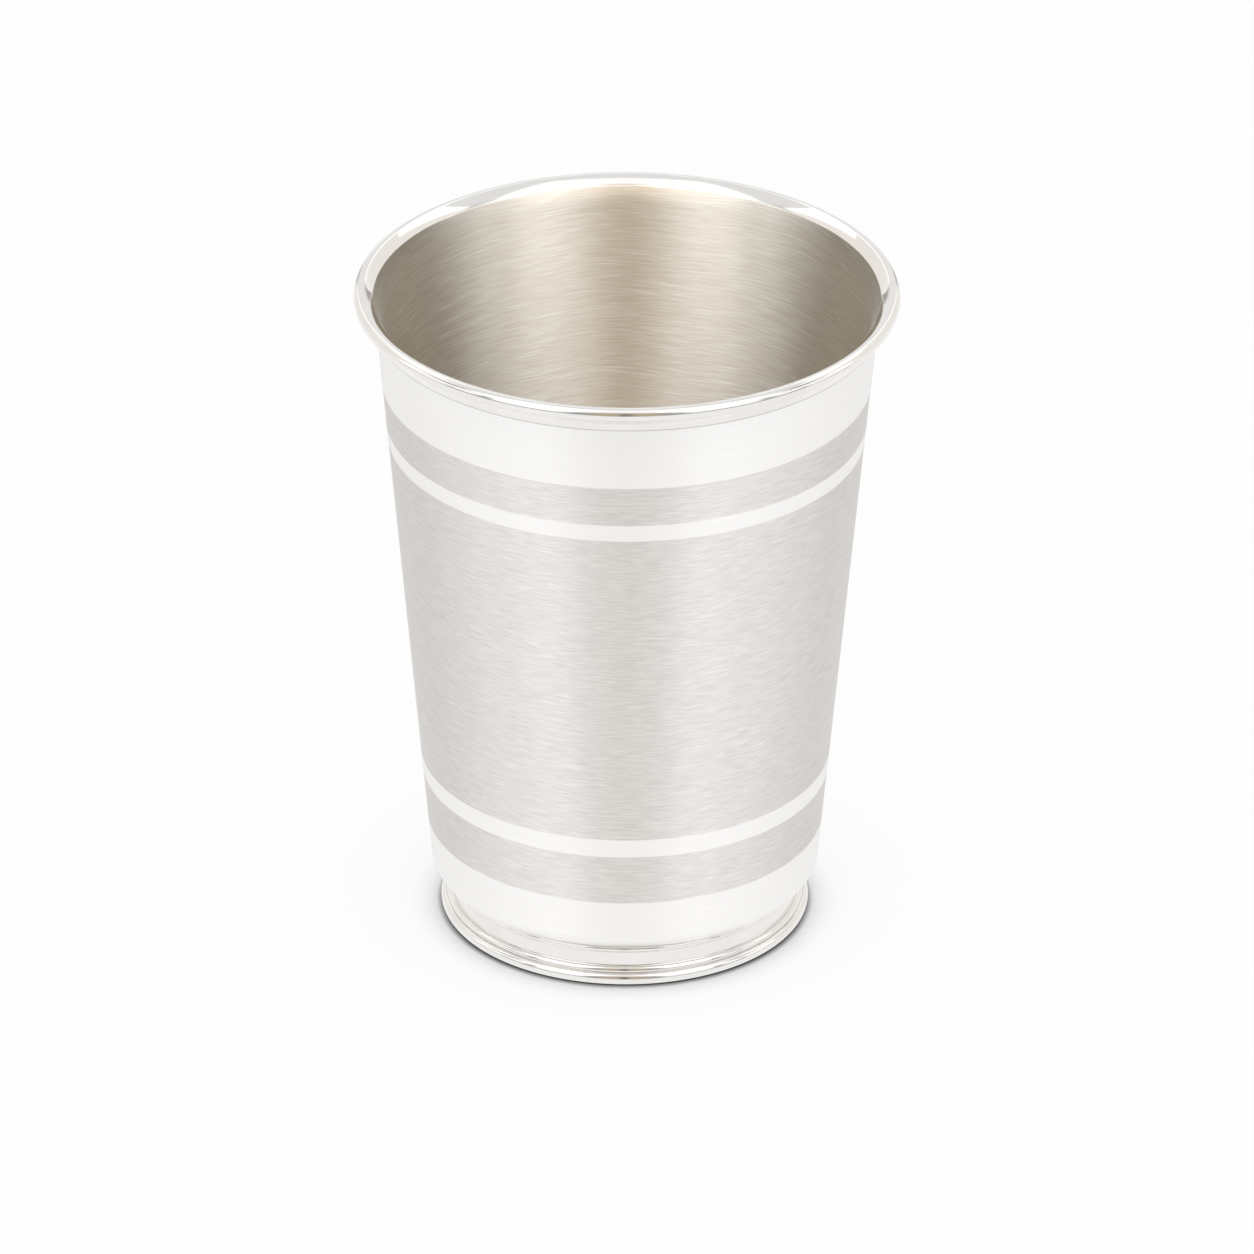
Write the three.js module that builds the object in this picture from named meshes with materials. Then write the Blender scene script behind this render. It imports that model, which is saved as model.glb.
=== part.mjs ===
// Silver tumbler: a tapered cup with an applied rim moulding and an applied foot ring.
// Millimetres, +Z up. The origin is the centre of the face that the tumbler stands on.
// Every piece is turned about Z, so its shape is a closed profile of radius and height.

import * as THREE from 'three';

// Cup wall
const wallTopDiameter = 78.3; // outside, at the top edge
const wallBaseDiameter = 60.9; // outside, where the cone would meet the underside
const wallHeight = 96.9; // from the underside to the top edge
const wallThickness = 0.9;
const heelRadius = 3; // outside, round the lower edge
const heelSeatWidth = 3.3; // flat part of the heel, turned in under the floor

// Polished bands, and how far the satin zones between them are rubbed down
const topBandDepth = 11.3; // lower edge of the wide band, below the top edge
const upperLineDepth = 18; // upper edge of the narrow band, below the top edge
const upperLineWidth = 2.8;
const lowerLineHeight = 17.9; // lower edge of the narrow band, above the underside
const lowerLineWidth = 3.2;
const heelBandHeight = 9.3; // upper edge of the heel band, above the underside
const satinDepth = 0.08;

// Cup floor
const floorThickness = 0.9;

// Rim moulding
const rimRise = 4; // from its seat on the wall to the crest of the lip
const rimOverhang = 3.35; // widest radius, beyond the wall's top edge
const beadRadius = 1.1;
const skirtDepth = 0.8; // how far the skirt laps down over the wall
const skirtWall = 0.4;
const skirtEdgeHeight = 0.3; // upright face at the foot of the cove
const coveSag = 0.18; // how far the cove is hollowed below a straight line

// Foot ring
const footHeight = 6.6;
const neckSetback = 0.2; // from the end of the heel's curve to the neck
const neckThickness = 1.5;
const collarRadius = 0.55; // half-round bead at the top of the neck
const collarDrop = 0.75; // middle of the collar, below the foot's top
const upperReedRadius = 0.8;
const upperReedHeight = 2.1; // middle of the reed, above the table
const upperReedProjection = 0.8; // beyond the neck
const lowerReedRadius = 1;
const lowerReedProjection = 1.65; // beyond the neck

// Soldered joints
const solderFilm = 0.2;
const fitGap = 0.25; // between round faces that fit one inside the other

const segments = 64; // facets round each piece
const arcStep = 22.5; // degrees turned by each facet of a rounded profile

// Heights that the pieces share
const underside = footHeight + solderFilm;
const heelTop = underside + wallThickness;
const floorBottom = heelTop + solderFilm;
const floorTop = floorBottom + floorThickness;
const wallTop = underside + wallHeight;
const rimSeat = wallTop + solderFilm;

// The wall's cone: its slope, and its outer and inner radius at any height
const wallSlope = (wallTopDiameter - wallBaseDiameter) / 2 / wallHeight;
const wallLean = THREE.MathUtils.radToDeg(Math.atan(wallSlope));
const wallAcross = wallThickness * Math.hypot(1, wallSlope); // thickness measured level
const outerWall = (z) => wallBaseDiameter / 2 + wallSlope * (z - underside);
const innerWall = (z) => outerWall(z) - wallAcross;

// The heel's curve touches the cone and the underside
const heelCentreZ = underside + heelRadius;
const heelCentreR = outerWall(heelCentreZ) - heelRadius * Math.hypot(1, wallSlope);
const heelInnerRadius = heelRadius - wallThickness;
const seatInnerR = heelCentreR - heelSeatWidth;
const neckR = heelCentreR - neckSetback;
const neckBoreR = neckR - neckThickness;

const point = (r, z) => new THREE.Vector2(r, z);

// Points on a round stretch of profile, with angles in degrees up from the level outward direction.
function arc(centreR, centreZ, radius, from, to) {
  const steps = Math.max(2, Math.ceil(Math.abs(to - from) / arcStep));
  return Array.from({ length: steps + 1 }, (_, i) => {
    const angle = THREE.MathUtils.degToRad(from + ((to - from) * i) / steps);
    return point(centreR + radius * Math.cos(angle), centreZ + radius * Math.sin(angle));
  });
}

// Angle, in degrees, from one point of the profile to another.
const bearing = (from, to) => THREE.MathUtils.radToDeg(Math.atan2(to.y - from.y, to.x - from.x));

// Outer point where two round stretches of profile cross.
function crossing(a, radiusA, b, radiusB) {
  const span = a.distanceTo(b);
  const along = (span ** 2 + radiusA ** 2 - radiusB ** 2) / (2 * span);
  const across = Math.sqrt(radiusA ** 2 - along ** 2);
  const axis = b.clone().sub(a).divideScalar(span);
  return point(a.x + axis.x * along + axis.y * across, a.y + axis.y * along - axis.x * across);
}

// Turns a profile, listed anticlockwise with the axis on its left, into a solid.
// A profile that doesn't reach the axis is closed on itself.
function turned(name, profile, finish) {
  const ring = profile[0].x > 0;
  const outline = ring ? [...profile, profile[0].clone()] : profile;
  const geometry = new THREE.LatheGeometry(outline, segments);
  geometry.rotateX(Math.PI / 2);
  const mesh = new THREE.Mesh(geometry, new THREE.MeshStandardMaterial(finish));
  mesh.name = name;
  return mesh;
}

const satinSilver = { color: 0xd5d1cc, roughness: 0.38, metalness: 1 };
const polishedSilver = { color: 0xf0eeeb, roughness: 0.08, metalness: 1 };
const silverSolder = { color: 0xc9c3b6, roughness: 0.45, metalness: 1 };

// Edges of the satin zones on the outside of the wall, from the heel up.
function satinZones() {
  const lowerLine = underside + lowerLineHeight;
  const upperLine = wallTop - upperLineDepth;
  return [
    [underside + heelBandHeight, lowerLine],
    [lowerLine + lowerLineWidth, upperLine - upperLineWidth],
    [upperLine, wallTop - topBandDepth],
  ];
}

// A satin zone's four corners: down from the polished face, along, and up again.
function satinZone([bottom, top]) {
  return [
    point(outerWall(bottom), bottom),
    point(outerWall(bottom) - satinDepth, bottom + satinDepth),
    point(outerWall(top) - satinDepth, top - satinDepth),
    point(outerWall(top), top),
  ];
}

function cupWall() {
  return turned('cup_wall', [
    point(seatInnerR, underside),
    ...arc(heelCentreR, heelCentreZ, heelRadius, -90, -wallLean),
    ...satinZones().flatMap(satinZone),
    point(outerWall(wallTop), wallTop),
    point(innerWall(wallTop), wallTop),
    ...arc(heelCentreR, heelCentreZ, heelInnerRadius, -wallLean, -90),
    point(seatInnerR, heelTop),
  ], satinSilver);
}

// The floor's edge keeps clear of the heel's curve, at its bottom and at its top.
function cupFloor() {
  const edgeAt = (z) => heelCentreR - fitGap
    + Math.sqrt(Math.max(0, heelInnerRadius ** 2 - Math.min(0, z - heelCentreZ) ** 2));
  return turned('cup_floor', [
    point(0, floorBottom),
    point(edgeAt(floorBottom), floorBottom),
    point(edgeAt(floorTop), floorTop),
    point(0, floorTop),
  ], satinSilver);
}

// Lip: a flare that leaves the wall's inner face without a corner and runs smoothly into the bead.
// Under the bead a shallow cove comes down to the skirt that laps over the wall.
function rimMoulding() {
  const bead = point(outerWall(wallTop) + rimOverhang - beadRadius, rimSeat + rimRise - beadRadius);
  const flareStart = point(innerWall(rimSeat), rimSeat);
  const outward = point(1, -wallSlope).normalize();
  const fromBead = flareStart.clone().sub(bead);
  const flareRadius = (beadRadius ** 2 - fromBead.lengthSq()) / 2 / (fromBead.dot(outward) + beadRadius);
  const flare = outward.multiplyScalar(flareRadius).add(flareStart);
  const flareEnd = bearing(flare, bead);

  const skirtBottom = rimSeat - skirtDepth;
  const skirtInner = (z) => outerWall(z) + fitGap;
  const skirtOuter = skirtInner(skirtBottom) + skirtWall;
  const coveFoot = point(skirtOuter, skirtBottom + skirtEdgeHeight);
  const coveHead = point(bead.x, bead.y - beadRadius);
  const coveSpan = coveHead.distanceTo(coveFoot);
  const coveRadius = (coveSpan ** 2 / 4 + coveSag ** 2) / 2 / coveSag;
  const coveMiddle = coveFoot.clone().lerp(coveHead, 0.5);
  const hollow = point(coveHead.y - coveFoot.y, coveFoot.x - coveHead.x).divideScalar(coveSpan);
  const cove = hollow.multiplyScalar(coveRadius - coveSag).add(coveMiddle);

  return turned('rim_moulding', [
    point(skirtInner(skirtBottom), skirtBottom),
    point(skirtOuter, skirtBottom),
    ...arc(cove.x, cove.y, coveRadius, bearing(cove, coveFoot), bearing(cove, coveHead)),
    ...arc(bead.x, bead.y, beadRadius, -90, flareEnd).slice(1),
    ...arc(flare.x, flare.y, flareRadius, flareEnd, 180 - wallLean).slice(1),
    point(skirtInner(rimSeat), rimSeat),
  ], polishedSilver);
}

// Foot: a bored ring with two reeds at the table, a plain neck and a half-round collar under the heel.
function footRing() {
  const lower = point(neckR + lowerReedProjection - lowerReedRadius, lowerReedRadius);
  const upper = point(neckR + upperReedProjection - upperReedRadius, upperReedHeight);
  const groove = crossing(lower, lowerReedRadius, upper, upperReedRadius);
  const collarZ = footHeight - collarDrop;
  return turned('foot_ring', [
    point(neckBoreR, 0),
    ...arc(lower.x, lower.y, lowerReedRadius, -90, bearing(lower, groove)),
    ...arc(upper.x, upper.y, upperReedRadius, bearing(upper, groove), 90).slice(1),
    ...arc(neckR, collarZ, collarRadius, -90, 90),
    point(neckR, footHeight),
    point(neckBoreR, footHeight),
  ], polishedSilver);
}

// A film of solder between two level faces.
function solderSeam(name, innerR, outerR, bottom) {
  return turned(name, [
    point(innerR, bottom),
    point(outerR, bottom),
    point(outerR, bottom + solderFilm),
    point(innerR, bottom + solderFilm),
  ], silverSolder);
}

const tumbler = new THREE.Group();
tumbler.name = 'silver_tumbler';
tumbler.add(
  cupWall(),
  cupFloor(),
  rimMoulding(),
  footRing(),
  solderSeam('rim_solder_seam', innerWall(wallTop), outerWall(wallTop), wallTop),
  solderSeam('floor_solder_seam', seatInnerR, heelCentreR - fitGap, heelTop),
  solderSeam('foot_solder_seam', neckBoreR, neckR, footHeight),
);

export default tumbler;
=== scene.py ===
import math

import bpy
import numpy as np
from mathutils import Matrix, Vector


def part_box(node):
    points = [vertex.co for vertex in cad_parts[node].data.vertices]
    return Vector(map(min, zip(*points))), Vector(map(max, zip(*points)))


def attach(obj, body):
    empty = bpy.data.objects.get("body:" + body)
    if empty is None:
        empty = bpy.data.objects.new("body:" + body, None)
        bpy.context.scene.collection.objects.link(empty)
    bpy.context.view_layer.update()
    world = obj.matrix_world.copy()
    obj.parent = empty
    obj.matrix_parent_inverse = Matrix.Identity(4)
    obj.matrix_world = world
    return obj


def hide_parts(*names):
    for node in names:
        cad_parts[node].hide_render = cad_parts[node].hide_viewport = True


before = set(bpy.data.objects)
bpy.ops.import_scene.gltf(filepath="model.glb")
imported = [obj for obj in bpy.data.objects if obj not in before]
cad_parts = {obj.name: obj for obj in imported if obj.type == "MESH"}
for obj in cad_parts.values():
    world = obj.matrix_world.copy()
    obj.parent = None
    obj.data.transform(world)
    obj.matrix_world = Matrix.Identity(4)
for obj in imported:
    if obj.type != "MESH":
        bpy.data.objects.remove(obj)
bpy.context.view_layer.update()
print("frame loaded:", ", ".join(sorted(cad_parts)))

mm = 0.001  # shapes are worked out in millimetres and written to the meshes in metres


def cadSpan(node):  # lowest and highest corner of a CAD node, in millimetres
    low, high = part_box(node)
    return np.array(low) / mm, np.array(high) / mm


def toLinear(hexCode):  # sRGB hex to linear RGBA
    srgb = np.array([int(hexCode[i:i + 2], 16) for i in (1, 3, 5)]) / 255
    linear = np.where(srgb <= 0.04045, srgb / 12.92, ((srgb + 0.055) / 1.055) ** 2.4)
    return (*linear.tolist(), 1.0)


# Outlines: points of radius and height, listed with the metal on the left

turning = dict(
    segments=384,  # steps round the axis
    arcStep=5.0,  # degrees for each step of a rounded stretch
    support=0.12,  # from each end of a long step to a point that keeps the shading flat between
    crease=28.0,  # degrees past which an edge stays crisp
)


def roundStretch(centre, radius, start, end):
    # centre + radius * (cos a, sin a), with a from start to end in degrees
    steps = max(3, math.ceil(abs(end - start) / turning["arcStep"]))
    a = np.radians(np.linspace(start, end, steps + 1))
    return np.column_stack([centre[0] + radius * np.cos(a), centre[1] + radius * np.sin(a)])


def bowedStretch(a, b, sag, steps=10):
    # circular arc from a to b, bowed by sag to the right of the way, or to the left if sag is below zero
    a, b = np.array(a, float), np.array(b, float)
    span = np.linalg.norm(b - a)
    radius = (span ** 2 / 4 + sag ** 2) / (2 * sag)
    right = np.array([b[1] - a[1], a[0] - b[0]]) / span
    centre = (a + b) / 2 - right * (radius - sag)
    sweep = 2 * math.asin(span / 2 / abs(radius)) * np.sign(radius)
    first = math.atan2(*(a - centre)[::-1])
    t = first + np.linspace(0, sweep, steps + 1)
    return np.column_stack([centre[0] + abs(radius) * np.cos(t), centre[1] + abs(radius) * np.sin(t)])


def easedCorner(before, corner, after, ease):  # the arc of radius ease that touches both sides of a corner
    before, corner, after = (np.array(p, float) for p in (before, corner, after))
    u = (before - corner) / np.linalg.norm(before - corner)
    v = (after - corner) / np.linalg.norm(after - corner)
    half = math.acos(np.clip(u @ v, -1, 1)) / 2
    centre = corner + (u + v) / np.linalg.norm(u + v) * ease / math.sin(half)
    start, end = (corner + w * ease / math.tan(half) - centre for w in (u, v))
    first = math.degrees(math.atan2(start[1], start[0]))
    turn = (math.degrees(math.atan2(end[1], end[0])) - first + 180) % 360 - 180
    return roundStretch(centre, ease, first, first + turn)


def outline(*stretches, closed=True):
    # joins points and stretches without repeats, and supports the long steps
    points = np.vstack([np.atleast_2d(np.array(s, float)) for s in stretches])
    points = points[np.linalg.norm(points - np.roll(points, 1, axis=0), axis=1) > 1e-6]
    ways = np.roll(points, -1, axis=0) - points
    spans = np.linalg.norm(ways, axis=1)
    long = spans > 4 * turning["support"]
    long[-1] &= closed
    inset = ways / spans[:, None] * turning["support"]
    rows = np.stack([points, points + inset, points + ways - inset], axis=1)
    return rows[np.column_stack([np.ones(len(points), bool), long, long])]


def turnedPiece(name, points, finishes, finishOf, closed=True):
    # surface(i, j) = (r_i cos t_j, r_i sin t_j, z_i): the outline's radius and height carried round Z
    # finishOf gives each step of the outline its finish, from its middle and its way in radius and height
    count, segments = len(points), turning["segments"]
    t = np.linspace(0, 2 * np.pi, segments, endpoint=False)
    r, z = points.T
    x, y, up = np.outer(r, np.cos(t)), np.outer(r, np.sin(t)), np.outer(z, np.ones(segments))
    rings = np.stack([x, y, up], axis=-1)
    i = np.arange(count if closed else count - 1)[:, None]
    j = np.arange(segments)[None, :]
    nextI, nextJ = (i + 1) % count, (j + 1) % segments
    corners = [i * segments + j, i * segments + nextJ, nextI * segments + nextJ, nextI * segments + j]
    faces = np.stack(np.broadcast_arrays(*corners), axis=-1).reshape(-1, 4)
    vertices = rings.reshape(-1, 3) * mm

    nextPoints = np.roll(points, -1, axis=0)
    middles, ways = (points + nextPoints) / 2, nextPoints - points
    stepFinish = np.asarray(finishOf(middles, ways))[:len(i)]
    faceFinish = np.repeat(stepFinish, segments)

    # on an open outline the ends lie on the axis, and each end ring becomes one pole
    faceList = faces.tolist() if closed else closePoles(faces, count, segments)
    mesh = bpy.data.meshes.new(name)
    mesh.from_pydata(vertices.tolist(), [], faceList)
    mesh.polygons.foreach_set("material_index", faceFinish.astype(np.int32))
    for finish in finishes:
        mesh.materials.append(finish)
    mesh.update()
    mesh.shade_smooth()
    mesh.set_sharp_from_angle(angle=math.radians(turning["crease"]))
    piece = bpy.data.objects.new(name, mesh)
    bpy.context.scene.collection.objects.link(piece)
    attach(piece, "root")
    print(f"{name}: {count} outline points, {len(faceList)} faces")
    return piece


def closePoles(faces, count, segments):
    # quads that touch an end ring become triangles to its first vertex
    lastRing = (count - 1) * segments
    first, last = faces[:segments], faces[-segments:]
    firstFan = np.column_stack([np.zeros(segments, int), first[:, 2], first[:, 3]])
    lastFan = np.column_stack([last[:, 0], last[:, 1], np.full(segments, lastRing)])
    return firstFan.tolist() + faces[segments:-segments].tolist() + lastFan.tolist()


# Materials

def addNode(tree, kind, inputs=None, **settings):
    node = tree.nodes.new(kind)
    for name, value in settings.items():
        setattr(node, name, value)
    for name, value in (inputs or {}).items():
        if isinstance(value, bpy.types.NodeSocket):
            tree.links.new(value, node.inputs[name])
        else:
            node.inputs[name].default_value = value
    return node


def newMaterial(name):
    material = bpy.data.materials.new(name)
    material.use_nodes = True
    tree = material.node_tree
    tree.nodes.clear()
    return material, tree


def roundAxis(tree):  # the level part of Object coordinates, the radius and the height
    place = addNode(tree, "ShaderNodeTexCoord").outputs["Object"]
    level = addNode(tree, "ShaderNodeVectorMath", {0: place, 1: (1, 1, 0)}, operation="MULTIPLY").outputs[0]
    radius = addNode(tree, "ShaderNodeVectorMath", {0: level}, operation="LENGTH").outputs["Value"]
    height = addNode(tree, "ShaderNodeSeparateXYZ", {"Vector": place}).outputs["Z"]
    return level, radius, height


brushing = dict(
    swayWay=20.0,  # millimetres round the cup in which a streak climbs or falls by its sway
    swayGain=2.5,  # brings the noise, which mostly stays within 0.4, up to the whole sway
    scratchLayer=5.0,  # any number that gives the long scratches a drawing of their own
    quarterTurn=0.25,  # of the anisotropy, so that reflections smear up and down
)


def streaks(tree, length, width, sway=0.0, layer=0.0):
    # Noise drawn out round the axis. Length, width and sway are a streak's, in millimetres.
    # Each layer is a drawing of its own.
    level, radius, height = roundAxis(tree)
    drift = addNode(tree, "ShaderNodeTexNoise", {
        "Vector": level, "W": layer, "Scale": 1 / (brushing["swayWay"] * mm), "Detail": 0.0},
        noise_dimensions="4D").outputs["Fac"]
    across = addNode(tree, "ShaderNodeMath", {0: height, 1: radius}, operation="ADD").outputs[0]
    across = addNode(tree, "ShaderNodeMath", {
        0: drift, 1: brushing["swayGain"] * sway * mm, 2: across}, operation="MULTIPLY_ADD").outputs[0]
    upward = addNode(tree, "ShaderNodeMath", {0: across, 1: 1 / (width * mm)}, operation="MULTIPLY")
    around = addNode(tree, "ShaderNodeVectorMath", {
        0: level, "Scale": 1 / (length * mm)}, operation="SCALE")
    lift = addNode(tree, "ShaderNodeCombineXYZ", {"Z": upward.outputs[0]})
    grain = addNode(tree, "ShaderNodeVectorMath", {
        0: around.outputs[0], 1: lift.outputs[0]}, operation="ADD")
    noise = addNode(tree, "ShaderNodeTexNoise", {
        "Vector": grain.outputs[0], "W": layer, "Scale": 1.0, "Detail": 1.0}, noise_dimensions="4D")
    return noise.outputs["Fac"]


def spread(tree, value, low, high, fromLow=0.3, fromHigh=0.7):  # noise stretched to a range
    return addNode(tree, "ShaderNodeMapRange", {
        "Value": value, "From Min": fromLow, "From Max": fromHigh,
        "To Min": low, "To Max": high}).outputs["Result"]


def blendColours(tree, factor, dark, light):  # inputs 6 and 7 of a colour Mix are its two colours
    mix = addNode(tree, "ShaderNodeMix", {
        0: factor, 6: toLinear(dark), 7: toLinear(light)}, data_type="RGBA")
    return mix.outputs[2]


def paintShadeInGrooves(tree, unshaded, grooves, strength):
    # the unshaded colour, browned close to each groove round the axis: painted shade
    _, radius, height = roundAxis(tree)
    section = addNode(tree, "ShaderNodeCombineXYZ", {"X": radius, "Y": height}).outputs[0]
    colour = unshaded
    for grooveRadius, grooveHeight in grooves:
        bottom = (grooveRadius * mm, grooveHeight * mm, 0)
        away = addNode(tree, "ShaderNodeVectorMath", {0: section, 1: bottom}, operation="DISTANCE")
        near = addNode(tree, "ShaderNodeMapRange", {
            "Value": away.outputs["Value"], "From Min": 0.0, "From Max": grooveShade["reach"] * mm,
            "To Min": strength, "To Max": 0.0},
            interpolation_type="SMOOTHSTEP").outputs["Result"]
        colour = addNode(tree, "ShaderNodeMix", {0: near, 6: colour, 7: toLinear(grooveShade["colour"])},
                         data_type="RGBA").outputs[2]
    return colour


def polishedSilver(name, grooves, grooveShading):
    # Sterling silver, buffed to a mirror: bright, a trace of warmth, a faint unevenness from the mop, and
    # a thin brown line of painted shade at the bottom of each groove
    material, tree = newMaterial(name)
    place = addNode(tree, "ShaderNodeTexCoord").outputs["Object"]
    marks = addNode(tree, "ShaderNodeTexNoise", {
        "Vector": place, "Scale": 1 / (buffing["mark"] * mm), "Detail": 3.0})
    unshaded = blendColours(tree, spread(tree, marks.outputs["Fac"], 0.0, 1.0), *buffing["colours"])
    shader = addNode(tree, "ShaderNodeBsdfPrincipled", {
        "Base Color": paintShadeInGrooves(tree, unshaded, grooves, grooveShading), "Metallic": 1.0,
        "Roughness": spread(tree, marks.outputs["Fac"], *buffing["roughness"])})
    addNode(tree, "ShaderNodeOutputMaterial", {"Surface": shader.outputs["BSDF"]})
    return material


def brushMarks(tree, finish):  # fine streaks all over, and here and there a longer, lighter scratch
    fine = streaks(tree, *finish["streak"])
    long = streaks(tree, *finish["scratch"], layer=brushing["scratchLayer"])
    scratch = spread(tree, long, 0.0, finish["scratched"], *finish["scratchFrom"])
    plain = spread(tree, fine, 0.0, 1.0 - finish["scratched"], *finish["streakFrom"])
    return addNode(tree, "ShaderNodeMath", {0: plain, 1: scratch}, operation="ADD").outputs[0]


def brushedSilver(name, finish):
    # Sterling silver, rubbed round and round with abrasive: fine streaks that smear reflections up and down
    material, tree = newMaterial(name)
    marks = brushMarks(tree, finish)
    bump = addNode(tree, "ShaderNodeBump", {
        "Height": marks, "Strength": 1.0, "Distance": finish["depth"] * mm})
    tangent = addNode(tree, "ShaderNodeTangent", direction_type="RADIAL", axis="Z")
    shader = addNode(tree, "ShaderNodeBsdfPrincipled", {
        "Base Color": blendColours(tree, marks, *finish["colours"]),
        "Metallic": 1.0, "Roughness": spread(tree, marks, *finish["roughness"], 0.0, 1.0),
        "Anisotropic": finish["anisotropy"], "Anisotropic Rotation": brushing["quarterTurn"],
        "Tangent": tangent.outputs[0], "Normal": bump.outputs[0]})
    addNode(tree, "ShaderNodeOutputMaterial", {"Surface": shader.outputs["BSDF"]})
    return material


def lipSilver(finish, mirror):
    # The brushing inside the cup runs up the flare and fades, a little raggedly, into the buffed lip
    material, tree = newMaterial("sterling_silver_lip")
    marks = brushMarks(tree, finish)
    place = addNode(tree, "ShaderNodeTexCoord").outputs["Object"]
    height = addNode(tree, "ShaderNodeSeparateXYZ", {"Vector": place}).outputs["Z"]
    wander = spread(tree, streaks(tree, *mirror["wander"]), -mirror["ragged"] * mm, mirror["ragged"] * mm)
    level = addNode(tree, "ShaderNodeMath", {0: height, 1: wander}, operation="ADD").outputs[0]
    low, high = (edge * mm for edge in mirror["fade"])
    buffed = spread(tree, level, 0.0, 1.0, low, high)
    brushed = spread(tree, level, 1.0, 0.0, low, high)
    colour = blendColours(tree, marks, *finish["colours"])
    mix = addNode(tree, "ShaderNodeMix", {
        0: buffed, 6: colour, 7: toLinear(mirror["colour"])}, data_type="RGBA")
    brushedRough = spread(tree, marks, *finish["roughness"], 0.0, 1.0)
    rough = addNode(tree, "ShaderNodeMapRange", {
        "Value": buffed, "To Min": brushedRough, "To Max": mirror["roughness"]})
    relief = addNode(tree, "ShaderNodeMath", {0: marks, 1: brushed}, operation="MULTIPLY")
    bump = addNode(tree, "ShaderNodeBump", {
        "Height": relief.outputs[0], "Strength": 1.0, "Distance": finish["depth"] * mm})
    tangent = addNode(tree, "ShaderNodeTangent", direction_type="RADIAL", axis="Z")
    shader = addNode(tree, "ShaderNodeBsdfPrincipled", {
        "Base Color": mix.outputs[2], "Metallic": 1.0, "Roughness": rough.outputs["Result"],
        "Anisotropic": finish["anisotropy"], "Anisotropic Rotation": brushing["quarterTurn"],
        "Tangent": tangent.outputs[0], "Normal": bump.outputs[0]})
    addNode(tree, "ShaderNodeOutputMaterial", {"Surface": shader.outputs["BSDF"]})
    return material


def solderedSilver():
    # Silver solder: greyer and duller than the sheet beside it
    material, tree = newMaterial("silver_solder_flowed")
    place = addNode(tree, "ShaderNodeTexCoord").outputs["Object"]
    mottle = addNode(tree, "ShaderNodeTexNoise", {
        "Vector": place, "Scale": 1 / (soldering["mottle"] * mm), "Detail": 4.0})
    shader = addNode(tree, "ShaderNodeBsdfPrincipled", {
        "Base Color": toLinear(soldering["colour"]), "Metallic": 1.0,
        "Roughness": spread(tree, mottle.outputs["Fac"], *soldering["roughness"])})
    addNode(tree, "ShaderNodeOutputMaterial", {"Surface": shader.outputs["BSDF"]})
    return material


buffing = dict(
    colours=("#EBE9E6", "#F1EFED"),
    roughness=(0.1, 0.16),
    mark=6.0,  # size of a mark left by the mop, in millimetres
)
# painted shade: the brown that darkens the bottom of each groove on the polished rings
grooveShade = dict(
    colour="#8C8373",
    reach=0.25,  # from the bottom of a groove, in millimetres
)
burnishing = dict(
    colours=("#F7F6F5", "#FBFAF9"),
    roughness=(0.33, 0.38),
    anisotropy=0.8,
    streak=(6.0, 0.28, 0.1),  # length, width and sway of a mark, in millimetres
    scratch=(12.0, 0.28, 0.3),
    scratched=0.2,  # share of the marks that are long scratches
    streakFrom=(0.3, 0.7),  # noise where a streak starts, and where it is whole: the closer, the crisper
    scratchFrom=(0.55, 0.7),
    depth=0.0002,
)
satinBrushing = dict(
    colours=("#DBD8D5", "#F3F1EF"),
    roughness=(0.38, 0.42),
    anisotropy=0.9,
    streak=(2.8, 0.2, 0.3),  # drawn wider than the real scratches, which are too fine to show
    scratch=(5.0, 0.24, 0.6),
    scratched=0.3,
    streakFrom=(0.3, 0.7),
    scratchFrom=(0.55, 0.7),
    depth=0.0003,
)
insideBrushing = dict(
    colours=("#E4DDD1", "#FCF9F3"),
    roughness=(0.49, 0.55),
    anisotropy=1.0,
    streak=(5.0, 0.22, 0.8),
    scratch=(10.0, 0.22, 2.4),
    scratched=0.5,
    streakFrom=(0.36, 0.64),
    scratchFrom=(0.57, 0.66),
    depth=0.0001,
)
lip = dict(
    colour="#EFEDEA",
    roughness=0.08,
    fade=(106.5, 106.8),  # heights on the flare between which the brushing gives way to the mirror
    ragged=0.1,
    wander=(10.0, 1.0),
)
soldering = dict(
    colour="#958D80",
    roughness=(0.3, 0.5),
    mottle=0.8,  # size of a dull patch, in millimetres
)
burnished = brushedSilver("sterling_silver_burnished", burnishing)
satin = brushedSilver("sterling_silver_satin", satinBrushing)
inside = brushedSilver("sterling_silver_brushed_inside", insideBrushing)
lipFinish = lipSilver(insideBrushing, lip)
solder = solderedSilver()

# Cup wall

wall = dict(
    thickness=0.9,
    baseRadius=30.45,  # outside, where the cone would meet the underside
    heelRadius=3.0,
    seatWidth=3.3,  # flat part of the heel, turned in under the floor
    satinDepth=0.03,  # how far the satin zones are rubbed down
    satinZones=((9.3, 17.9), (21.1, 76.1), (78.9, 85.6)),  # above the underside, from and to
    satinRamp=0.3,  # height of the slope down to a satin zone
    arris=0.5,  # rounding at both ends of the slope
    lead=1.0,  # how far before and after a zone its outline is taken, to ease the corners
)
wallLow, wallHigh = cadSpan("cup_wall")
underside, wallTop, topRadius = wallLow[2], wallHigh[2], wallHigh[0]
slope = (topRadius - wall["baseRadius"]) / (wallTop - underside)
lean = math.degrees(math.atan(slope))
lengthen = math.hypot(1, slope)
heelTop = underside + wall["thickness"]
heelCentreZ = underside + wall["heelRadius"]


def outerWall(z):
    return wall["baseRadius"] + slope * (z - underside)


def innerWall(z):
    return outerWall(z) - wall["thickness"] * lengthen


heelCentre = (outerWall(heelCentreZ) - wall["heelRadius"] * lengthen, heelCentreZ)
heelInside = wall["heelRadius"] - wall["thickness"]
seatInner = heelCentre[0] - wall["seatWidth"]


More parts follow.
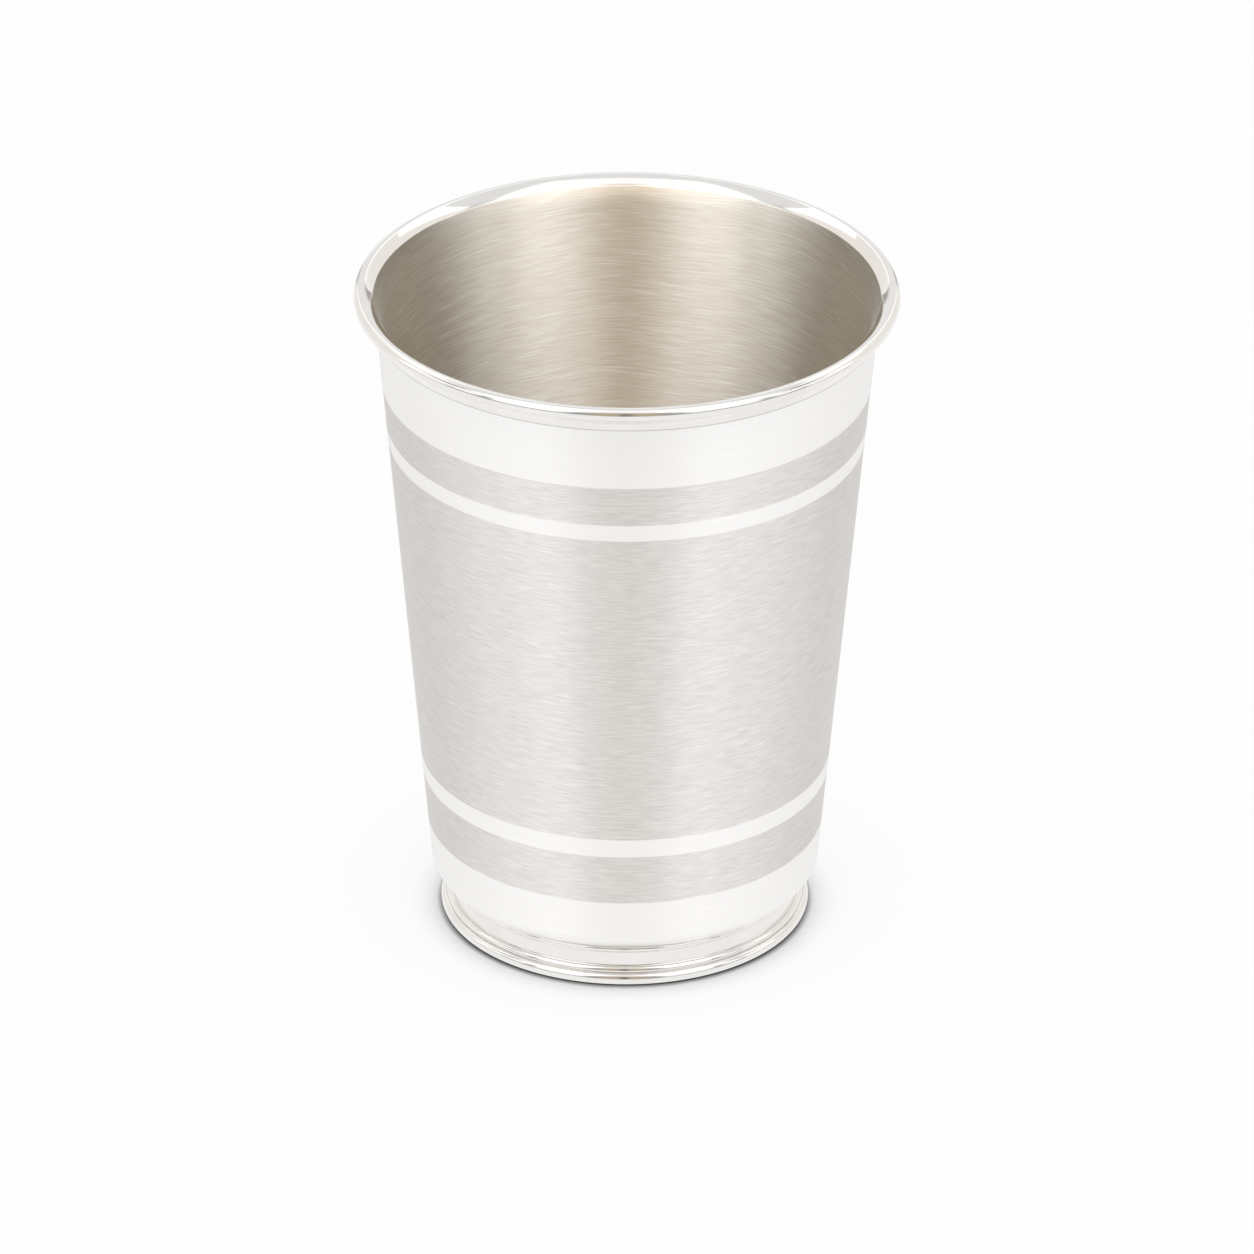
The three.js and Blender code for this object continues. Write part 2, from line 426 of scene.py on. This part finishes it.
def satinZone(low, high):  # four eased corners: in from the polished face, up, and out again
    depth, ramp, ease = wall["satinDepth"], wall["satinRamp"], wall["arris"]
    start, end = low - wall["lead"], high + wall["lead"]
    below, above = (outerWall(start), start), (outerWall(end), end)
    corners = [below, (outerWall(low), low), (outerWall(low + ramp) - depth, low + ramp),
               (outerWall(high - ramp) - depth, high - ramp), (outerWall(high), high), above]
    return np.vstack([easedCorner(*corners[k:k + 3], ease) for k in range(4)])


def wallFinish(middles, ways):  # 0 satin, 1 burnished, 2 brushed inside
    r, z = middles.T
    outer = (ways[:, 1] > 1e-4) | (z < heelTop - 0.2)  # what rises, and the underside of the heel
    inZone = np.zeros(len(z), bool)
    for low, high in wall["satinZones"]:
        inZone |= (z > underside + low) & (z < underside + high)
    return np.where(outer, np.where(inZone, 0, 1), 2)


def makeWall():
    zones = [satinZone(underside + low, underside + high) for low, high in wall["satinZones"]]
    points = outline(
        (innerWall(wallTop), wallTop),
        roundStretch(heelCentre, heelInside, -lean, -90),
        (seatInner, heelTop),
        (seatInner, underside),
        roundStretch(heelCentre, wall["heelRadius"], -90, -lean),
        *zones,
        (outerWall(wallTop), wallTop),
    )
    piece = turnedPiece("cupWall", points, [satin, burnished, inside], wallFinish)
    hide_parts("cup_wall")


makeWall()

# Cup floor

floorLow, floorHigh = cadSpan("cup_floor")
floorBottom, floorTop = floorLow[2], floorHigh[2]
fitGap = 0.25  # left round the floor and inside the moulding's skirt, and run full of solder


def floorEdge(z):
    return heelCentre[0] - fitGap + math.sqrt(max(0, heelInside ** 2 - min(0, z - heelCentreZ) ** 2))


def makeFloor():
    points = outline(
        (0, floorBottom),
        (floorEdge(floorBottom), floorBottom),
        (floorEdge(floorTop), floorTop),
        (0, floorTop),
        closed=False,
    )

    def floorFinish(middles, ways):  # 0 satin below, 1 brushed inside on top, where the outline runs inward
        return np.where(ways[:, 0] < 0, 1, 0)

    piece = turnedPiece("cupFloor", points, [satin, inside], floorFinish, closed=False)
    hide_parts("cup_floor")


makeFloor()

# Rim moulding

rim = dict(
    beadRadius=1.1,
    skirtWall=0.4,
    skirtEdge=0.3,  # upright face at the foot of the cove
    skirtArris=0.1,
    coveSag=0.18,
    lipInset=0.4,  # from the bead's middle in to where the flare's finish starts
    grooveShading=0.8,  # how far painted shade browns the bottom of a groove, from 0 to 1
    throatTop=106.65,  # the moulding is drawn in two rings, because the lamps light the brushed throat more
)
rimLow, rimHigh = cadSpan("rim_moulding")
skirtBottom, crest, rimReach = rimLow[2], rimHigh[2], rimHigh[0]
rimSeat = cadSpan("rim_solder_seam")[1][2]


def skirtInner(z):
    return outerWall(z) + fitGap


def makeRim():
    beadRadius = rim["beadRadius"]
    bead = np.array([rimReach - beadRadius, crest - beadRadius])
    flareStart = np.array([innerWall(rimSeat), rimSeat])
    outward = np.array([1, -slope]) / lengthen
    fromBead = flareStart - bead
    flareRadius = (beadRadius ** 2 - fromBead @ fromBead) / 2 / (fromBead @ outward + beadRadius)
    flare = flareStart + outward * flareRadius
    flareEnd = math.degrees(math.atan2(*(bead - flare)[::-1]))
    skirtOuter = skirtInner(skirtBottom) + rim["skirtWall"]
    coveFoot = (skirtOuter, skirtBottom + rim["skirtEdge"])
    coveHead = (bead[0], bead[1] - beadRadius)
    throatAngle = 180 - math.degrees(math.asin((rim["throatTop"] - flare[1]) / flareRadius))
    seatOuter = (skirtInner(rimSeat), rimSeat)
    points = outline(
        (skirtInner(skirtBottom), skirtBottom),
        easedCorner((skirtInner(skirtBottom), skirtBottom), (skirtOuter, skirtBottom), coveFoot,
                    rim["skirtArris"]),
        bowedStretch(coveFoot, coveHead, -rim["coveSag"]),
        roundStretch(bead, beadRadius, -90, flareEnd),
        roundStretch(flare, flareRadius, flareEnd, throatAngle),
        seatOuter,
    )
    throatPoints = outline(roundStretch(flare, flareRadius, throatAngle, 180 - lean), seatOuter)

    def rimFinish(middles, ways):  # 0 polished, 1 the flare
        r, z = middles.T
        return np.where((r < bead[0] - rim["lipInset"]) & (ways[:, 1] < 0) & (z > rimSeat), 1, 0)

    # the moulding's two grooves, browned with painted shade
    grooves = [coveHead, (skirtOuter, skirtBottom)]
    polished = polishedSilver("sterling_silver_buffed_rim", grooves, rim["grooveShading"])
    for name, section in (("rimMoulding", points), ("rimThroat", throatPoints)):
        piece = turnedPiece(name, section, [polished, lipFinish], rimFinish)
        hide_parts("rim_moulding")


makeRim()

# Foot ring

foot = dict(
    neckThickness=1.5,
    collarRadius=0.55,
    collarDrop=0.75,  # middle of the collar, below the foot's top
    upperReedRadius=0.8,
    upperReedHeight=2.1,
    lowerReedRadius=1.0,
    edge=0.15,  # rounding of the bore's edges
    # how far painted shade browns the bottom of a groove, from 0 to 1
    grooveShading=0.3,
)
footHigh = cadSpan("foot_ring")[1]
footTop, footReach = footHigh[2], footHigh[0]
neckRadius = cadSpan("foot_solder_seam")[1][0]
boreRadius = neckRadius - foot["neckThickness"]


def makeFoot():
    lowRadius, upRadius = foot["lowerReedRadius"], foot["upperReedRadius"]
    lower = np.array([footReach - lowRadius, lowRadius])
    upper = np.array([neckRadius, foot["upperReedHeight"]])
    span = np.linalg.norm(upper - lower)
    reach = (span ** 2 + lowRadius ** 2 - upRadius ** 2) / (2 * span)
    way = (upper - lower) / span
    groove = lower + way * reach + np.array([way[1], -way[0]]) * math.sqrt(lowRadius ** 2 - reach ** 2)

    def bearing(centre, to):
        return math.degrees(math.atan2(*(to - centre)[::-1]))

    collarZ = footTop - foot["collarDrop"]
    points = outline(
        easedCorner((boreRadius, footTop), (boreRadius, 0), (lower[0], 0), foot["edge"]),
        roundStretch(lower, lowRadius, -90, bearing(lower, groove)),
        roundStretch(upper, upRadius, bearing(upper, groove), 90),
        roundStretch((neckRadius, collarZ), foot["collarRadius"], -90, 90),
        (neckRadius, footTop),
        (boreRadius, footTop),
    )
    # the foot's groove and the foot of its collar, browned with painted shade
    collarFoot = (neckRadius, collarZ - foot["collarRadius"])
    polished = polishedSilver("sterling_silver_buffed_foot", [groove, collarFoot], foot["grooveShading"])
    piece = turnedPiece("footRing", points, [polished], lambda m, w: np.zeros(len(m), int))
    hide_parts("foot_ring")


makeFoot()

# Solder in the three joints: a film between the level faces, and a hollow fillet where it shows

fillet = dict(toe=0.25, hollow=0.05)


def solderPiece(name, node, points, finishes=(solder,), finishOf=lambda m, w: np.zeros(len(m), int)):
    piece = turnedPiece(name, points, finishes, finishOf)
    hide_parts(node)


def makeSolder():
    toe, hollow = fillet["toe"], fillet["hollow"]
    toeOnWall = (outerWall(skirtBottom - toe), skirtBottom - toe)
    toeOnSkirt = (skirtInner(skirtBottom) + toe, skirtBottom)
    solderPiece("rimSolder", "rim_solder_seam", outline(
        (innerWall(wallTop), wallTop),
        (outerWall(wallTop), wallTop),
        bowedStretch(toeOnWall, toeOnSkirt, -hollow),
        (skirtInner(skirtBottom), skirtBottom),
        (skirtInner(rimSeat), rimSeat),
        (innerWall(rimSeat), rimSeat),
    ), (solder, inside), lambda m, w: np.where(m[:, 0] < innerWall(wallTop) + 0.02, 1, 0))
    wallToe = math.degrees(math.asin((floorTop + toe - heelCentreZ) / heelInside))
    wallToePoint = roundStretch(heelCentre, heelInside, wallToe, wallToe)[0]
    solderPiece("floorSolder", "floor_solder_seam", outline(
        (seatInner, heelTop - toe),
        (seatInner, heelTop),
        roundStretch(heelCentre, heelInside, -90, wallToe),
        bowedStretch(wallToePoint, (floorEdge(floorTop) - toe, floorTop), -hollow),
        (floorEdge(floorTop), floorTop),
        (floorEdge(floorBottom), floorBottom),
        bowedStretch((seatInner - toe, floorBottom), (seatInner, heelTop - toe), -hollow),
    ))
    solderPiece("footSolder", "foot_solder_seam", outline(
        (boreRadius, footTop),
        (neckRadius, footTop),
        bowedStretch((neckRadius, footTop - toe / 2), (heelCentre[0], underside), -hollow / 2),
        bowedStretch((boreRadius - toe, underside), (boreRadius, footTop - toe), -hollow),
    ))


makeSolder()

# Floor, lamps and camera

studio = dict(
    floorRadius=1.2,
    floorColour="#BFBFBF",
    floorWhite=1.0,  # what the camera and the silver see of the floor is mostly plain white,
    shadowKept=0.04,  # a share of it is lit by the lamps, so that their shadows stay,
    shadows=((0.001, 1.0), (0.005, 1.0), (0.02, 0.07)),  # and it dims near the tumbler: reach, share
    shadowSamples=4,
    floorSides=96,
    aim=(0, 0, 0.05),
    # Name, degrees round from the camera, degrees up, distance, width, height, colour, and glow on the
    # brushed and on the polished silver (1 is white). The polished rings get less, because in a mirror
    # the lamps are glare.
    lamps=(
        ("softBoxLeft", -40, 35, 1.2, 0.67, 1.2, "#FFFFFF", 1.85, 0.86),
        ("softBoxRight", 40, 35, 1.2, 0.67, 1.2, "#FFFFFF", 1.85, 0.86),
        ("highBoxLeft", -54, 70, 1.2, 0.5, 0.5, "#FFFFFF", 2.5, 0.6),
        ("highBoxRight", 54, 70, 1.2, 0.5, 0.5, "#FFFFFF", 2.5, 0.6),
        ("screenLeft", -68, 40, 1.2, 0.28, 1.5, "#FFFFFF", 1.8, 0.74),
        ("screenRight", 68, 40, 1.2, 0.28, 1.5, "#FFFFFF", 1.8, 0.74),
        ("sidePanelLeft", -89, 17, 1.2, 0.55, 0.65, "#FFFFFF", 0.5, 0.74),
        ("sidePanelRight", 89, 17, 1.2, 0.55, 0.65, "#FFFFFF", 0.5, 0.74),
        ("sideBoxLeft", -88, 42, 1.2, 0.4, 0.6, "#FFFFFF", 1.4, 0),
        ("sideBoxRight", 88, 42, 1.2, 0.4, 0.6, "#FFFFFF", 1.4, 0),
        ("softBoxTop", 0, 76, 1.5, 0.7, 0.6, "#FFEEDC", 4.7, 0.4),
        ("cardLeft", -128, 25, 1.2, 1.3, 1.3, "#FFFFFF", 0, 0.6),
        ("cardRight", 128, 25, 1.2, 1.3, 1.3, "#FFFFFF", 0, 0.6),
        ("cardBack", 180, 25, 1.2, 0.9, 1.3, "#FFFFFF", 0, 0.4),
        ("cardOver", 0, 90, 1.3, 2.6, 2.6, "#FFFFFF", 0, 0.35),
    ),
    polished=("rimMoulding", "footRing"),
    # What the room gives back, by how far aside a direction points: in front, the camera, the gap between
    # the lamps and the walls; behind, a pale backdrop with darker corners; and over all a pale ceiling
    frontGlow=((0.0, "#74716C"), (0.03, "#74716C"), (0.05, "#C2B59F"), (0.22, "#C2B59F"),
               (0.28, "#AAAAAA")),
    backGlow=((0.0, "#BCBCBC"), (0.3, "#BCBCBC"), (0.5, "#9C978E")),
    turnToBack=(-0.2, 0.2),  # backward share of a direction where the front gives way to the back
    ceilingGlow="#BCBCBC",
    ceilingFrom=(0.68, 0.78),  # upward share of a direction where the ceiling starts, and where it is whole
)


def lampGroup(name, pieces):  # a lamp that is linked to a group lights nothing else
    group = bpy.data.collections.new(name)
    for piece in pieces:
        group.objects.link(piece)
    return group


def softBox(name, turn, rise, distance, width, height, colour, glow, group):
    lamp = bpy.data.lights.new(name, "AREA")
    lamp.shape = "RECTANGLE"
    lamp.size, lamp.size_y = width, height
    lamp.color = toLinear(colour)[:3]
    lamp.energy = glow * math.pi * width * height
    a, e = math.radians(turn), math.radians(rise)
    way = Vector((math.sin(a) * math.cos(e), -math.cos(a) * math.cos(e), math.sin(e)))
    holder = bpy.data.objects.new(name, lamp)
    facing = way.to_track_quat("Z", "Y").to_matrix().to_4x4()
    holder.matrix_world = Matrix.Translation(Vector(studio["aim"]) + way * distance) @ facing
    holder.visible_camera = False
    holder.light_linking.receiver_collection = group
    bpy.context.scene.collection.objects.link(holder)


def paperSweep():
    # White paper: seen as near white, with part of its light and shade left
    material, tree = newMaterial("white_paper_sweep")
    rays = addNode(tree, "ShaderNodeLightPath").outputs
    seen = rays["Is Camera Ray"]
    for ray in ("Is Glossy Ray", "Is Transmission Ray"):
        seen = addNode(tree, "ShaderNodeMath", {0: seen, 1: rays[ray]}, operation="MAXIMUM").outputs[0]
    plain = addNode(tree, "ShaderNodeMath", {0: seen, 1: 1 - studio["shadowKept"]}, operation="MULTIPLY")
    clear = 1.0
    # painted shadow: ambient occlusion near the tumbler dims the paper's colour and the white it shows;
    # glossy rays see it undimmed
    for reach, share in studio["shadows"]:
        near = addNode(tree, "ShaderNodeAmbientOcclusion", {
            "Distance": reach}, samples=studio["shadowSamples"]).outputs["AO"]
        near = addNode(tree, "ShaderNodeMapRange", {"Value": near, "To Min": 1 - share}).outputs["Result"]
        clear = addNode(tree, "ShaderNodeMath", {0: near, 1: clear}, operation="MULTIPLY").outputs[0]
    clear = addNode(tree, "ShaderNodeMath", {
        0: clear, 1: rays["Is Glossy Ray"]}, operation="MAXIMUM").outputs[0]
    paper = blendColours(tree, clear, "#000000", studio["floorColour"])
    lit = addNode(tree, "ShaderNodeBsdfDiffuse", {"Color": paper})
    dim = addNode(tree, "ShaderNodeMath", {0: clear, 1: studio["floorWhite"]}, operation="MULTIPLY")
    white = addNode(tree, "ShaderNodeEmission", {"Color": (1, 1, 1, 1), "Strength": dim.outputs[0]})
    both = addNode(tree, "ShaderNodeMixShader", {
        0: plain.outputs[0], 1: lit.outputs[0], 2: white.outputs[0]})
    addNode(tree, "ShaderNodeOutputMaterial", {"Surface": both.outputs[0]})
    return material


def colourRamp(tree, value, stops):
    ramp = addNode(tree, "ShaderNodeValToRGB", {"Fac": value})
    marks = ramp.color_ramp.elements
    for extra in stops[2:]:
        marks.new(extra[0])
    for mark, (position, colour) in zip(marks, stops):
        mark.position, mark.color = position, toLinear(colour)
    return ramp.outputs["Color"]


def makeRoom():
    world = bpy.data.worlds.new("studioRoom")
    bpy.context.scene.world = world
    world.use_nodes = True
    tree = world.node_tree
    tree.nodes.clear()
    direction = addNode(tree, "ShaderNodeTexCoord").outputs["Generated"]
    level = addNode(tree, "ShaderNodeVectorMath", {0: direction, 1: (1, 1, 0)}, operation="MULTIPLY")
    heading = addNode(tree, "ShaderNodeVectorMath", {0: level.outputs[0]}, operation="NORMALIZE")
    heading = addNode(tree, "ShaderNodeSeparateXYZ", {"Vector": heading.outputs[0]}).outputs
    aside = addNode(tree, "ShaderNodeMath", {0: heading["X"]}, operation="ABSOLUTE")
    behind = spread(tree, heading["Y"], 0.0, 1.0, *studio["turnToBack"])
    front = colourRamp(tree, aside.outputs[0], studio["frontGlow"])
    back = colourRamp(tree, aside.outputs[0], studio["backGlow"])
    walls = addNode(tree, "ShaderNodeMix", {0: behind, 6: front, 7: back}, data_type="RGBA")
    height = addNode(tree, "ShaderNodeSeparateXYZ", {"Vector": direction}).outputs["Z"]
    above = spread(tree, height, 0.0, 1.0, *studio["ceilingFrom"])
    whole = addNode(tree, "ShaderNodeMix", {
        0: above, 6: walls.outputs[2], 7: toLinear(studio["ceilingGlow"])}, data_type="RGBA")
    glow = addNode(tree, "ShaderNodeBackground", {"Color": whole.outputs[2], "Strength": 1.0})
    addNode(tree, "ShaderNodeOutputWorld", {"Surface": glow.outputs[0]})


def makeStudio():
    mesh = bpy.data.meshes.new("studioFloor")
    t = np.linspace(0, 2 * np.pi, studio["floorSides"], endpoint=False)
    disc = np.column_stack([np.cos(t), np.sin(t), np.zeros(len(t))]) * studio["floorRadius"]
    mesh.from_pydata(disc.tolist(), [], [list(range(len(t)))])
    mesh.materials.append(paperSweep())
    ground = bpy.data.objects.new("studioFloor", mesh)
    bpy.context.scene.collection.objects.link(ground)
    pieces = [piece for piece in bpy.context.scene.objects if piece.type == "MESH"]
    mirrors = [piece for piece in pieces if piece.name in studio["polished"]]
    polished = lampGroup("polishedPieces", mirrors)
    brushed = lampGroup("brushedPieces", [piece for piece in pieces if piece not in mirrors])
    for name, *settings, onBrushed, onPolished in studio["lamps"]:
        if onBrushed:
            softBox(name, *settings, onBrushed, brushed)
        if onPolished:
            softBox(name + "Dimmed", *settings, onPolished, polished)
    makeRoom()
    print("studio: floor,", len(studio["lamps"]), "lamps and room")


makeStudio()

camera = dict(
    distance=2.0,
    elevation=27.73,
    target=(0.0002, 0.0, 0.0485),
    lens=364.8,
    sensor=36.0,
    clip=(0.1, 20.0),
    lean=0.22,  # degrees that the photograph is turned
)


def makeCamera():
    data = bpy.data.cameras.new("camera")
    data.lens, data.sensor_width = camera["lens"], camera["sensor"]
    data.clip_start, data.clip_end = camera["clip"]
    e = math.radians(camera["elevation"])
    back = Vector((0, -math.cos(e), math.sin(e)))
    place = Vector(camera["target"]) + back * camera["distance"]
    turn = (-back).to_track_quat("-Z", "Y").to_matrix().to_4x4()
    holder = bpy.data.objects.new("camera", data)
    tilt = Matrix.Rotation(math.radians(camera["lean"]), 4, "Z")
    holder.matrix_world = Matrix.Translation(place) @ turn @ tilt
    bpy.context.scene.collection.objects.link(holder)
    bpy.context.scene.camera = holder


makeCamera()
bpy.context.scene.view_settings.view_transform = "Standard"
bpy.context.scene.cycles.glossy_bounces = 12  # light goes round many times inside a bright cup
